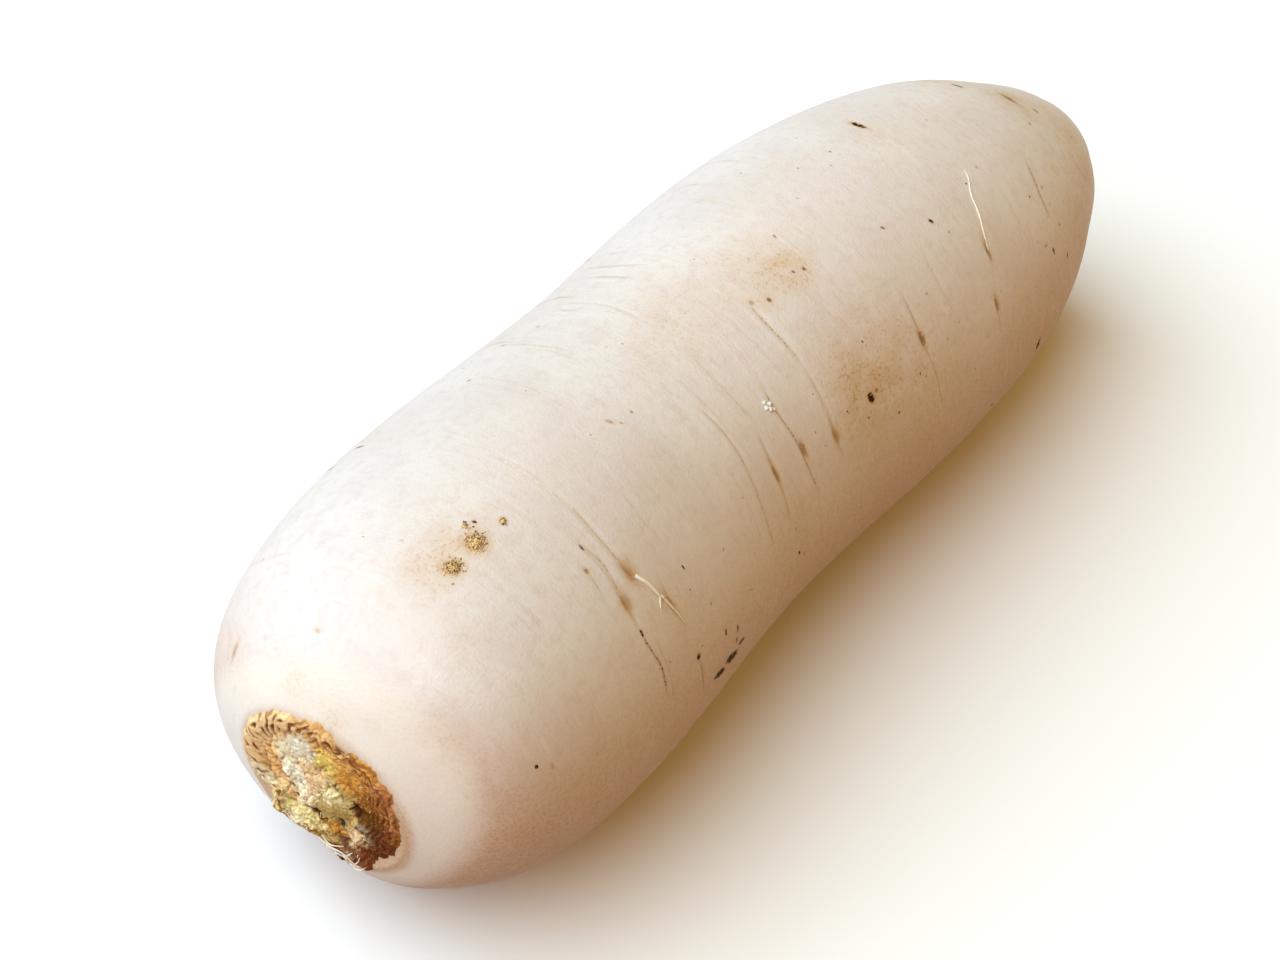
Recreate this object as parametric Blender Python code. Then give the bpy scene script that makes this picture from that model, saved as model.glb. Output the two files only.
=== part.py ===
"""A short, thick white daikon radish lying on its side, with its leaves and the tip of its tail cut off.

It grew as one piece, so it is one object. The root lies along X: the leaf scar of its crown faces -X and
the trimmed tail faces +X. It touches the ground, z = 0, under its two bulges, each on a small flat spot.
The origin is at the middle of that ground, under the centre of the root's bounding box.
"""

import math

import bmesh
import bpy
import numpy as np
from mathutils import Matrix

# Driving dimensions, in metres. Every other size is a share of these two.
LENGTH = 0.250
THICKEST_RADIUS = 0.043

# The outer profile of the straightened root: share of LENGTH from the crown, share of THICKEST_RADIUS.
# It starts at the rim of the leaf scar, swells, narrows at the waist, swells again and tapers to the tail.
PROFILE = [
    (0.000, 0.430),
    (0.012, 0.590),
    (0.032, 0.765),
    (0.064, 0.900),
    (0.112, 0.975),
    (0.176, 1.000),
    (0.256, 0.990),
    (0.352, 0.950),
    (0.448, 0.930),
    (0.544, 0.950),
    (0.640, 0.960),
    (0.728, 0.930),
    (0.808, 0.865),
    (0.880, 0.740),
    (0.940, 0.570),
    (0.980, 0.430),
    (1.000, 0.325),
]

# The root's own centreline: share of LENGTH from the crown, then sideways and height in shares of
# THICKEST_RADIUS. It is nearly straight, with a slow bend to one side.
CENTRELINE = [
    (0.0, -0.040, 0.950),
    (0.2, 0.010, 0.995),
    (0.4, 0.055, 0.990),
    (0.6, 0.070, 0.975),
    (0.8, 0.030, 0.905),
    (1.0, -0.050, 0.865),
]

# The centreline's direction is read over this share of LENGTH to each side.
CENTRELINE_STEP = 1e-4

# Near the crown each ring is an oval, wider along a line that slopes down to +Y. It fades along the root.
OVAL = 0.090
OVAL_SLOPE = math.radians(-37)
OVAL_START = 0.024
OVAL_REACH = 0.125

# The leaf scar is a shallow ring-shaped groove around a low mound of cut leaf stalks.
SCAR_PROUD = 0.0014
SCAR_GROOVE_DEPTH = 0.0006
SCAR_GROOVE_RADIUS = 0.0165
SCAR_SHOULDER_RADIUS = 0.0130

# The mound, from its middle outwards: share of SCAR_PROUD, share of SCAR_SHOULDER_RADIUS.
MOUND_PROFILE = [
    (1.00, 0.00),
    (0.92, 0.45),
    (0.60, 1.00),
]

# The trimmed tail is a slightly domed cut face. Its rim rounds over this far along, and this far inwards.
TAIL_DOME = 0.0016
TAIL_RIM_ROUND = 0.0012
TAIL_RIM_INSET = 0.0026

# How far the flesh is pressed flat where the root's weight rests on the ground.
FLAT_SPOT_DEPTH = 0.0007

# The mesh: its sides around, and its rings along the skin, over the tail's rim and over its face.
# The skin's rings lie closer together towards its ends, by this share.
SIDES = 48
RINGS = 44
RINGS_CLOSER = 0.115
RIM_RINGS = 3
FACE_RINGS = 3
MERGE_DISTANCE = 1e-6

SKIN_COLOUR = (0.83, 0.76, 0.68, 1.0)
SKIN_ROUGHNESS = 0.45


def clear_scene():
    for obj in list(bpy.data.objects):
        bpy.data.objects.remove(obj)


def spline(points, at):
    """The natural cubic curve through points, rows of (place, value), read at the given places."""
    x, y = np.array(points, float).T
    gap = np.diff(x)
    slope = np.diff(y) / gap
    count = len(x)
    matrix = np.eye(count)
    right = np.zeros(count)
    for i in range(1, count - 1):
        matrix[i, i - 1 : i + 2] = gap[i - 1], 2 * (gap[i - 1] + gap[i]), gap[i]
        right[i] = 6 * (slope[i] - slope[i - 1])
    bend = np.linalg.solve(matrix, right)
    i = np.clip(np.searchsorted(x, at) - 1, 0, count - 2)
    before, after = at - x[i], x[i + 1] - at
    return (
        (bend[i] * after**3 + bend[i + 1] * before**3) / (6 * gap[i])
        + (y[i] / gap[i] - bend[i] * gap[i] / 6) * after
        + (y[i + 1] / gap[i] - bend[i + 1] * gap[i] / 6) * before
    )


def scar_profile():
    """(distance from the crown's rim, radius) of the leaf scar, from its middle outwards."""
    mound = [(-proud * SCAR_PROUD, out * SCAR_SHOULDER_RADIUS) for proud, out in MOUND_PROFILE]
    return mound + [(SCAR_GROOVE_DEPTH, SCAR_GROOVE_RADIUS)]


def body_profile():
    """(distance, radius) of the skin between the scar's rim and the cut tail, closer together at the ends."""
    even = np.linspace(0.0, 1.0, RINGS)
    share = even - RINGS_CLOSER * np.sin(2 * math.pi * even)
    radius = spline(PROFILE, share)
    return list(zip(share * LENGTH, radius * THICKEST_RADIUS))


def tail_profile():
    """(distance, radius) of the trimmed tail, over its rounded rim and then in to the middle of its face."""
    rim = PROFILE[-1][1] * THICKEST_RADIUS
    face = rim - TAIL_RIM_INSET
    points = []
    for turn in np.linspace(0.0, math.pi / 2, RIM_RINGS + 1)[1:]:
        inwards = TAIL_RIM_INSET * (1 - math.cos(turn))
        points.append((LENGTH + TAIL_RIM_ROUND * math.sin(turn), rim - inwards))
    for share in np.linspace(1.0, 0.0, FACE_RINGS + 1)[1:]:
        bulge = TAIL_DOME * (1 - share**2)
        points.append((LENGTH + TAIL_RIM_ROUND + bulge, share * face))
    return points


def oval_at(along):
    """How much wider, as a share, the root is at this share of its length. It is as much narrower across."""
    start = 1 - math.exp(-((max(along, 0.0) / OVAL_START) ** 2))
    return OVAL * start * math.exp(-((along / OVAL_REACH) ** 2))


def turned_root():
    """The straight root, turned around the X axis from its profile."""
    profile = scar_profile() + body_profile() + tail_profile()
    bm = bmesh.new()
    verts = [bm.verts.new((along, 0.0, radius)) for along, radius in profile]
    edges = [bm.edges.new(pair) for pair in zip(verts, verts[1:])]
    bmesh.ops.spin(
        bm,
        geom=verts + edges,
        cent=(0, 0, 0),
        axis=(1, 0, 0),
        angle=2 * math.pi,
        steps=SIDES,
        use_merge=True,
    )
    bmesh.ops.remove_doubles(bm, verts=bm.verts, dist=MERGE_DISTANCE)
    bmesh.ops.recalc_face_normals(bm, faces=bm.faces)
    return bm


def make_oval(bm):
    """Widens the rings near the crown along the sloping line, and narrows them across it."""
    turn = Matrix.Rotation(OVAL_SLOPE, 3, "X")
    for vert in bm.verts:
        oval = oval_at(vert.co.x / LENGTH)
        straight = turn.inverted() @ vert.co
        straight.y *= 1 + oval
        straight.z *= 1 - oval
        vert.co = turn @ straight


def centreline_at(share):
    """Points of the centreline at these shares of LENGTH."""
    sideways = spline([(along, y) for along, y, z in CENTRELINE], share)
    height = spline([(along, z) for along, y, z in CENTRELINE], share)
    return np.stack([share * LENGTH, sideways * THICKEST_RADIUS, height * THICKEST_RADIUS], 1)


def unit(vectors):
    return vectors / np.linalg.norm(vectors, axis=1, keepdims=True)


def bend(bm):
    """Carries the straight root onto its centreline, with each ring square to it."""
    points = np.array([vert.co for vert in bm.verts])
    along = points[:, 0] / LENGTH
    inside = np.clip(along, 0.0, 1.0)
    before = np.clip(inside - CENTRELINE_STEP, 0.0, 1.0)
    after = np.clip(inside + CENTRELINE_STEP, 0.0, 1.0)
    tangent = unit(centreline_at(after) - centreline_at(before))
    across = unit(np.cross([0.0, 0.0, 1.0], tangent))
    up = np.cross(tangent, across)
    beyond = (along - inside)[:, None] * LENGTH * tangent
    moved = centreline_at(inside) + beyond + points[:, 1:2] * across + points[:, 2:3] * up
    for vert, place in zip(bm.verts, moved):
        vert.co = place


def settle(bm):
    """Lowers the root into the ground by the flat spots' depth, flattens it there, and centres it."""
    points = np.array([vert.co for vert in bm.verts])
    low, high = points.min(0), points.max(0)
    middle = (low + high) / 2
    drop = low[2] + FLAT_SPOT_DEPTH
    for vert in bm.verts:
        vert.co.x -= middle[0]
        vert.co.y -= middle[1]
        vert.co.z = max(vert.co.z - drop, 0.0)


def skin_material():
    material = bpy.data.materials.new("daikon_skin")
    material.use_nodes = True
    shader = material.node_tree.nodes["Principled BSDF"]
    shader.inputs["Base Color"].default_value = SKIN_COLOUR
    shader.inputs["Roughness"].default_value = SKIN_ROUGHNESS
    shader.inputs["Metallic"].default_value = 0.0
    return material


def build_daikon():
    bm = turned_root()
    make_oval(bm)
    bend(bm)
    settle(bm)
    mesh = bpy.data.meshes.new("daikon")
    bm.to_mesh(mesh)
    bm.free()
    mesh.shade_smooth()
    mesh.materials.append(skin_material())
    daikon = bpy.data.objects.new("daikon", mesh)
    bpy.context.scene.collection.objects.link(daikon)
    return daikon


clear_scene()
build_daikon()
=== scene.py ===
"""The looks of a short, thick white daikon radish lying on its side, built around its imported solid.

Places on the root are given as (along, around): millimetres from the crown's rim towards the tail, and
degrees from the top of the root down its near side, so that 90 faces -Y and -90 faces +Y. Places on the
leaf scar are millimetres from its middle: towards +Y, then up.
"""

import math
from typing import NamedTuple

import bmesh
import bpy
import numpy as np
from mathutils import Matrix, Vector, noise


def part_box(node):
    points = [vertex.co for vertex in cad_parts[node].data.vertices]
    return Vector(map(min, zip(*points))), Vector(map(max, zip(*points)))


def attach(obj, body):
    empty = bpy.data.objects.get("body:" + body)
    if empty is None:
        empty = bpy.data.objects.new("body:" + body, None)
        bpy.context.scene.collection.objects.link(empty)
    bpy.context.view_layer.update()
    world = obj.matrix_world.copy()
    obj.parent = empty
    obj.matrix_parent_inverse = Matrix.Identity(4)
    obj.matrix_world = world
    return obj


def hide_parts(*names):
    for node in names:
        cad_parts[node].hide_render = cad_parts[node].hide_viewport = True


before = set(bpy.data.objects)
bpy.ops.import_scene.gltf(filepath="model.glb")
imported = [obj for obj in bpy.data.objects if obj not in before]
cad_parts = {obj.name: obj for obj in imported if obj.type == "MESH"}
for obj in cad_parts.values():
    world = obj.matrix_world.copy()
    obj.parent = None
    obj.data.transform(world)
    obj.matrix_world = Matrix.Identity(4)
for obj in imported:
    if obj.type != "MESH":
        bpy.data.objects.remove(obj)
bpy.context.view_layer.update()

root_low, root_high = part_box("daikon")
root_size = root_high - root_low
root_middle = (root_low + root_high) / 2

MM = 0.001

# The root's driving sizes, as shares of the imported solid's box.
LENGTH = 0.9819 * root_size.x
THICK = 0.5048 * root_size.z

# The same outline as the solid's: share of LENGTH from the crown's rim, share of THICK.
PROFILE = [
    (0.000, 0.430),
    (0.012, 0.590),
    (0.032, 0.765),
    (0.064, 0.900),
    (0.112, 0.975),
    (0.176, 1.000),
    (0.256, 0.990),
    (0.352, 0.950),
    (0.448, 0.930),
    (0.544, 0.950),
    (0.640, 0.960),
    (0.728, 0.930),
    (0.808, 0.865),
    (0.880, 0.740),
    (0.940, 0.570),
    (0.980, 0.430),
    (1.000, 0.325),
]

# The same centreline: share of LENGTH, then sideways and height in shares of THICK.
CENTRELINE = [
    (0.0, -0.040, 0.950),
    (0.2, 0.010, 0.995),
    (0.4, 0.055, 0.990),
    (0.6, 0.070, 0.975),
    (0.8, 0.030, 0.905),
    (1.0, -0.050, 0.865),
]

# The same oval rings near the crown.
OVAL = 0.090
OVAL_SLOPE = math.radians(-37)
OVAL_START = 0.024
OVAL_REACH = 0.125

# The same crown rim, trimmed tail and flat spots.
CROWN_RIM = PROFILE[0][1] * THICK
SCAR_PROUD = 0.0014
TAIL_RIM = PROFILE[-1][1] * THICK
TAIL_RIM_ROUND = 0.0012
TAIL_RIM_INSET = 2.2 * TAIL_RIM_ROUND
TAIL_FACE = TAIL_RIM - TAIL_RIM_INSET
TAIL_DOME = 0.0016
FLAT_SPOT_DEPTH = 0.0007

# The hollow in the crown that the leaf scar fills.
BOWL_DEPTH = 0.0005

# The skin's grid: rows along the root, and points around it.
SKIN_ROWS = 560
SKIN_SIDES = 168

# The leaf scar's grid, how far its skirt reaches under the skin around it, and how thick it is there.
SCAR_ROWS = 128
SCAR_SIDES = 480
SCAR_SKIRT = 0.0018
SCAR_THICKNESS = 0.0012

# A small hole left in each end of the skin's grid, which its cap closes.
POLE_HOLE = 0.0003

# Where the crown's flank is eaten back: degrees around, how wide and deep that goes, how far outside
# the rim its middle lies, and how far it reaches from there.
NOTCH_AROUND = -164
NOTCH_SPREAD = 12
NOTCH_DEPTH = 0.0042
NOTCH_MIDDLE = 0.0060
NOTCH_REACH = 0.0080

# About the length of a degree around the root.
MM_PER_DEGREE = 0.72

# How wide a crease is, how far to each side its look reaches, and over how many degrees its ends fade.
CREASE_WIDTH = 0.00045
CREASE_REACH = 0.0022
CREASE_FADE = 6.0

# How far apart, in mm, each crease reads the noise that breaks its line.
CREASE_SHIFT = 53.0

# A spot's half size through the skin, and how far around it its look reaches, in half sizes.
SPOT_THICKNESS = 0.0030
SPOT_HALO = 2.4

# The place that is stored where no spot or crease is near: off the edge of any.
FAR_OFF = 9.0

# How strong the warm painted shade is on the side that faces down, and between which slopes it sets in.
UNDERSIDE_SHADE = 0.72
UNDERSIDE_SHADE_STARTS = -0.75
UNDERSIDE_SHADE_FULL = 0.25

# Painted light, with somewhat whiter skin, on the crown where it faces out along the root: how squarely, for
# none and for full.
LIT_CROWN_FACE = (0.70, 0.90)


def spline(points, at):
    """The natural cubic curve through points, rows of (place, value), read at the given places."""
    x, y = np.array(points, float).T
    gap = np.diff(x)
    slope = np.diff(y) / gap
    count = len(x)
    matrix = np.eye(count)
    right = np.zeros(count)
    for i in range(1, count - 1):
        matrix[i, i - 1 : i + 2] = gap[i - 1], 2 * (gap[i - 1] + gap[i]), gap[i]
        right[i] = 6 * (slope[i] - slope[i - 1])
    bend = np.linalg.solve(matrix, right)
    i = np.clip(np.searchsorted(x, at) - 1, 0, count - 2)
    before, after = at - x[i], x[i + 1] - at
    return (
        (bend[i] * after**3 + bend[i + 1] * before**3) / (6 * gap[i])
        + (y[i] / gap[i] - bend[i] * gap[i] / 6) * after
        + (y[i + 1] / gap[i] - bend[i + 1] * gap[i] / 6) * before
    )


def smooth(low, high, value):
    """0 below low, 1 above high, and an even curve between them."""
    share = np.clip((value - low) / (high - low), 0.0, 1.0)
    return share * share * (3 - 2 * share)


def hump(distance, reach):
    """1 at distance 0, falling away smoothly: nearly 0 at twice the reach."""
    return np.exp(-((distance / reach) ** 2))


def unit(vectors):
    return vectors / np.linalg.norm(vectors, axis=-1, keepdims=True)


def noise_at(points, size, seed):
    """Smooth noise, about -1 to 1, at each point, with features about as large as size."""
    shift = Vector((31.7, -12.3, 7.9)) * seed
    flat = points.reshape(-1, 3) / size
    values = [noise.noise(Vector(point) + shift) for point in flat]
    return np.array(values).reshape(points.shape[:-1])


def cells_at(points, size, seed):
    """How deep each point lies inside its cell of a cracked pattern: 0 on a crack, about 1 in a middle."""
    shift = Vector((-5.1, 23.9, 11.3)) * seed
    flat = points.reshape(-1, 3) / size
    nearest = [noise.voronoi(Vector(point) + shift)[0] for point in flat]
    return np.array([row[1] - row[0] for row in nearest]).reshape(points.shape[:-1])


def centre_frame(share):
    """The centreline's point at this share of LENGTH, and its directions: along it, towards +Y, and up."""

    def centre(at):
        sideways, height = (spline([(row[0], row[k]) for row in CENTRELINE], at) for k in (1, 2))
        return np.stack([at * LENGTH, sideways * THICK, height * THICK], -1)

    step = 1e-4
    tangent = unit(centre(np.clip(share + step, 0, 1)) - centre(np.clip(share - step, 0, 1)))
    across = unit(np.cross([0.0, 0.0, 1.0], tangent))
    return centre(share), tangent, across, np.cross(tangent, across)


def carry(along, radius, angle):
    """Points of the straight, turned root, bent onto its centreline. The angle is in radians."""
    share = along / LENGTH
    start = 1 - np.exp(-((np.maximum(share, 0.0) / OVAL_START) ** 2))
    oval = OVAL * start * hump(share, OVAL_REACH)
    y = -radius * np.sin(angle)
    z = radius * np.cos(angle)
    turn_cos, turn_sin = math.cos(OVAL_SLOPE), math.sin(OVAL_SLOPE)
    wide = (y * turn_cos + z * turn_sin) * (1 + oval)
    tall = (-y * turn_sin + z * turn_cos) * (1 - oval)
    y = wide * turn_cos - tall * turn_sin
    z = wide * turn_sin + tall * turn_cos
    inside = np.clip(share, 0.0, 1.0)
    centre, tangent, across, up = centre_frame(inside)
    beyond = ((share - inside) * LENGTH)[..., None] * tangent
    return centre + beyond + y[..., None] * across + z[..., None] * up


def outline():
    """(along, radius) of the skin, from the middle of the crown's hollow to the middle of the cut tail."""
    share = np.linspace(0.0, 1.0, 2000)
    bowl = np.linspace(0.0, 1.0, 60, endpoint=False)
    rim = np.linspace(0.0, math.pi / 2, 40)[1:]
    face = np.linspace(1.0, 0.0, 100)[1:]
    along = np.concatenate([
        BOWL_DEPTH * (1 - bowl**6),
        share * LENGTH,
        LENGTH + TAIL_RIM_ROUND * np.sin(rim),
        LENGTH + TAIL_RIM_ROUND + TAIL_DOME * (1 - face**2),
    ])
    radius = np.concatenate([
        CROWN_RIM * bowl,
        spline(PROFILE, share) * THICK,
        TAIL_RIM - (TAIL_RIM - TAIL_FACE) * (1 - np.cos(rim)),
        TAIL_FACE * face,
    ])
    return along, radius


def ground_shift():
    """How far the outline moves to lie in the solid's box, pressed into the ground by its flat spots."""
    along, radius = outline()
    angle = np.linspace(-math.pi, math.pi, 181)
    bare = carry(along[:, None], radius[:, None], angle[None, :]).reshape(-1, 3)
    scar = carry(np.array([-SCAR_PROUD]), np.zeros(1), np.zeros(1))
    bare = np.concatenate([bare, scar])
    low, high = bare.min(0), bare.max(0)
    shift = np.array(root_middle) - (low + high) / 2
    shift[2] = root_low.z - low[2] - FLAT_SPOT_DEPTH
    return shift


SHIFT = ground_shift()


class Crease(NamedTuple):
    """A thin line around the root, through places (along, around), and how strong its marks are."""

    places: list
    depth: float = 0.20
    pale: float = 0.0
    brown: float = 0.5
    dashed: float = 0.6


class Spot(NamedTuple):
    """A stained mark, with a dark core and an ochre halo.

    Its long axis runs around the root, turned towards the tail by tilt degrees.
    """

    along: float
    around: float
    length: float = 0.6
    width: float = 0.6
    tilt: float = 0.0
    core: float = 0.8
    halo: float = 0.2
    depth: float = 0.0


# A row holds a Crease's fields: its places (along, around), depth in mm, pale, brown, dashed.
CREASES = [
    # The pair of creases on the near shoulder, which the forked rootlet grows from.
    ([(54.3, -4), (54.3, 6), (54.3, 25)], 0.12, 0.9, 0),
    ([(54.3, 23), (53.6, 37), (54, 47), (55.5, 56)], 0.26, 0.8),
    ([(49.4, 32), (50.5, 41), (49.5, 48), (49, 57), (49, 61)], 0.26, 0.6, 0.6),
    ([(49, 58), (49.3, 65), (50.3, 72), (50.3, 76), (49.8, 84)], 0.32, 0, 1),
    ([(51, 62), (51.6, 70), (51.8, 80), (51.2, 92)], 0.18, 0.3, 0.4),
    ([(46.8, 37), (46.8, 40), (45.8, 47)], 0.16, 0, 0.5, 0.2),
    ([(59, 53), (58.8, 60), (60.4, 72)], 0.2, 0, 0.25, 0.1),
    ([(61, 79), (61.8, 88), (62.6, 97)], 0.22, 0, 0.7, 0.2),
    # The waist's creases.
    ([(92.8, 28), (93.5, 42), (93, 50), (91.8, 62), (91.5, 78)], 0.2, 0.25),
    ([(89, 44), (88.6, 58), (88, 74)], 0.12, 0.3, 0.2),
    ([(100.8, 44), (99.6, 54), (99.2, 62), (98.2, 76)], 0.22, 0, 0.45, 0.3),
    ([(111.6, 16), (110, 30), (108.8, 40)], 0.16, 0.7, 0),
    ([(108.9, 36), (107.8, 45), (108.3, 56), (108.3, 66), (109.6, 76)], 0.28, 0.3, 0.75),
    ([(121.8, 15), (120.5, 25), (120.3, 33), (120, 42)], 0.26, 0.6, 0.75, 0.9),
    ([(120, 40), (119.3, 52), (118.6, 64), (118.9, 74)], 0.22, 0.35, 0.4),
    # Behind the waist, and towards the tail.
    ([(151.6, 42), (151, 52), (150.8, 60), (151.4, 68), (152.6, 86)], 0.2, 0.4, 0.45, 0.1),
    ([(163, 36), (162, 48), (162.4, 60)], 0.12, 0.3, 0.25),
    ([(181.5, -4), (180.2, 10), (178.8, 20)], 0.1, 0.5, 0),
    ([(183.6, 40), (181.2, 50), (179.6, 58)], 0.24, 0, 0.55, 0.1),
    ([(178.4, 59), (177.2, 68), (176.8, 78)], 0.2, 0, 0.4, 0.1),
    ([(211, 33), (209, 41), (207.4, 48), (207.2, 58)], 0.24, 0, 0.75, 0.15),
    ([(232, 48), (233.6, 58), (235, 66)], 0.18, 0, 0.5, 0.2),
    ([(222, 56), (220.6, 70), (221.2, 84)], 0.14, 0, 0.3, 0.3),
    ([(238.5, 55), (233.8, 67.5), (225.5, 78.5), (219.5, 85.5)], 0.16, 0, 0.35, 0.2),
]

# A row holds a Spot's fields: along, around, length and width in mm, tilt, core, halo, depth in mm.
SPOTS = [
    # Brown dimples that a rootlet once grew from.
    (54, 47, 5.4, 3.2, 0, 0.05, 0.95, 0.4),
    (49.5, 51.5, 4.8, 2.8, 0, 0.08, 0.9, 0.35),
    (46.8, 38.5, 1.4, 1, 0, 0.35, 0.75, 0.2),
    (58.6, 61.5, 5.6, 1.7, 10, 0.1, 0.8, 0.35),
    (109, 59.5, 4.6, 1.6, 0, 0.25, 1, 0.35),
    (99.3, 58.5, 5.4, 1.5, 0, 0.22, 1, 0.35),
    (118.6, 63.5, 4.6, 2.4, 0, 0.15, 0.9, 0.45),
    (150.8, 59, 4.4, 2, 0, 0.4, 1, 0.35),
    (181, 51, 5, 1.8, 0, 0.2, 0.85, 0.4),
    (177.3, 66.5, 4.2, 1.7, 0, 0.3, 0.85, 0.4),
    # Dark dashes and slashes.
    (49.4, 33.8, 2, 0.7, 0, 1, 0.2, 0.25),
    (49.1, 60.5, 2.2, 0.8, 0, 1, 0.3, 0.25),
    (65.3, 56.5, 1.6, 0.6, 12, 0.9),
    (61, 81, 2.2, 1.6, 0, 1, 0.7, 0.25),
    (62.6, 78.8, 0.6, 0.5, 0, 0.7),
    (73.2, 95.4, 6.6, 3.2, 76, 1, 0.5, 0.3),
    (68.8, 96.2, 6.2, 2.6, 70, 1, 0.4, 0.25),
    (76.6, 93.4, 3, 1.4, 84, 0.9, 0.4),
    (70.6, 83, 2.4, 0.9),
    (74.9, 86.5, 2.6, 0.9, 0, 0.9),
    (74.6, 90.5, 2, 0.9),
    (81, 79.5, 2.4, 0.5, 60, 0.25, 0.3),
    (181.7, -7.5, 5.2, 1.7, 0, 1, 1, 0.35),
    (219.6, -9, 4, 1.3, 0, 1, 0.6, 0.25),
    # The pits under the corky scabs.
    (36.2, 13.2, 4.8, 4.6, 0, 0.45, 1, 0.2),
    (29.6, 12.6, 3.8, 3.6, 0, 0.7, 1, 0.2),
    (42.8, 15, 1.8, 1.6, 0, 0.3, 0.9),
    (39.5, 9.6, 1.1, 0.9, 0, 0.9, 0.8),
    (217.8, -22, 7, 2, 0, 0, 0.45),
    (228.6, 6.5, 5.4, 2.8, 0, 0.35, 1, 0.2),
    (232.5, 18, 2.4, 1.2, 0, 0.45, 0.8),
    # Dark specks, from the crown to the tail.
    (16.3, 68, 1.2, 1, 0, 1),
    (19, 71, 1.4, 0.9, 0, 0.15, 0.45),
    (10, -12.5, 1.5, 1.1, 0, 0.1, 0.5),
    (7.2, -53, 5, 1.8, 30, 0.15, 0.55),
    (29.3, -3, 1, 0.6, 0, 0, 0.5),
    (80.5, 18, 0.8, 0.6),
    (75, 16, 2, 0.9, 20, 0.1, 0.75),
    (76.6, 18.4, 0.8, 0.6, 0, 0.2, 0.6),
    (72, -27.5, 1.2, 0.9, 0, 0.3, 0.5),
    (64.3, 62.5, 0.6, 0.5, 0, 0.6),
    (99.8, 86.5, 1.1, 0.9, 0, 1),
    (101.8, 89, 1.2, 0.6, 0, 0.35, 0.3),
    (122, 18, 1.5, 1.2, 0, 0.15, 0.7),
    (125.3, 21, 1.3, 1.1, 0, 0.55, 0.8, 0.15),
    (134.6, 19.6, 1, 0.8, 0, 0.55, 0.7),
    (136.8, 21, 1.1, 0.9, 0, 0.6, 0.7),
    (131.3, 62, 3, 2.3, 20, 1, 0.8, 0.2),
    (133.4, 61.5, 1.4, 1.1, 60, 0.45, 0.6),
    (136, 47.5, 0.7, 0.6, 0, 0.9),
    (123.8, 60, 0.8, 0.6, 0, 0.7),
    (113.8, 58, 0.6, 0.5, 0, 0.6),
    (118, 49, 0.7, 0.6, 0, 0.35),
    (128.8, 66.5, 0.7, 0.6, 0, 0.6),
    (146.8, 67, 0.9, 0.7, 0, 0.7),
    (148.4, 69, 0.8, 0.6, 0, 0.5),
    (137.8, 72.5, 0.8, 0.7, 0, 0.7),
    (157.5, 49, 0.8, 0.7, 0, 0.3, 0.5),
    (158.5, 26.5, 1.4, 0.7, 30, 0.7, 0.4),
    (170.3, 33.5, 1.6, 1, 30, 0.95, 0.6),
    (172.8, 39, 0.8, 0.6, 0, 0.4),
    (187, 30.5, 0.7, 0.6, 0, 0.95),
    (193.5, 28, 1, 0.6, 0, 0.3),
    (168.3, -3.5, 0.9, 0.6, 0, 0.6),
    (164.3, 1, 0.9, 0.5, 0, 0.6),
    (159.3, -5.5, 0.7, 0.5, 0, 0.5),
    (203, 46, 0.7, 0.6, 0, 0.95),
    (223.8, 24, 1.1, 0.8),
    (210, 61.5, 1, 0.7),
    (204, 67, 2.2, 0.9, 0, 0.9),
    (210.6, 74, 2.2, 0.7, 0, 0.9),
    (201.2, 63, 0.5, 2.4, 0, 0.45),
    (197.3, 98, 4.2, 1.9, 0, 1, 0.7, 0.25),
    (178.8, 106, 1.4, 0.9, 0, 0.9),
]

# Soft tan stains: along, around, reach in mm, strength.
STAINS = [
    (1.5, 10, 3.0, 0.30),
    (27.0, 8, 6.0, 0.50),
    (35.5, 9, 6.5, 0.45),
    (19.5, 27, 6.0, 0.22),
    (7.5, 43, 6.0, 0.26),
    (3.0, -14, 4.0, 0.22),
    (6.5, -53, 6.0, 0.22),
    (102.0, 10, 9.0, 0.24),
    (114.0, 5, 10.0, 0.28),
    (135.0, 18, 5.0, 0.75),
    (130.0, 9, 8.0, 0.34),
    (125.3, 21, 2.5, 0.5),
    (134.0, 57, 13.0, 0.75),
    (128.0, 62, 7.0, 0.30),
    (95.0, 72, 14.0, 0.22),
    (152.0, 72, 18.0, 0.30),
    (58.5, 62, 7.0, 0.22),
    (181.0, -2, 5.0, 0.30),
    (218.0, -18, 8.0, 0.35),
    (229.0, 8, 7.0, 0.62),
    (196.0, 88, 18.0, 0.40),
    (222.0, 70, 16.0, 0.45),
    (237.0, 40, 9.0, 0.40),
    (60.0, -120, 24.0, 0.30),
    (150.0, -130, 26.0, 0.30),
    (205.0, 170, 26.0, 0.35),
    (90.0, 165, 30.0, 0.30),
    (20.0, 150, 18.0, 0.35),
]


# How many marks are scattered: faint creases, specks, and the dimples and dashes on the far sides.
FAINT_CREASES = 110
SPECKS = 90
FAR_MARKS = 26


def scattered_creases(random):
    """Faint creases all over the root, more of them at the waist and on the sides that face away."""
    creases = []
    for _ in range(FAINT_CREASES):
        along = random.choice([random.uniform(22, 238), random.normal(110, 34)])
        around = random.uniform(-179, 147)
        reach = random.uniform(8, 32)
        wander = random.uniform(-1.2, 1.2)
        if not 16 < along < 240:
            continue
        near_side = -30 < around < 95
        middle = (along + wander, around + reach / 2)
        places = [(along, around), middle, (along + random.uniform(-0.8, 0.8), around + reach)]
        creases.append(Crease(
            places,
            depth=random.uniform(0.02, 0.06 if near_side else 0.20),
            pale=random.uniform(0.0, 0.10 if near_side else 0.25),
            brown=random.uniform(0.0, 0.22 if near_side else 0.55),
            dashed=random.uniform(0.0, 0.9),
        ))
    return creases


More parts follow.
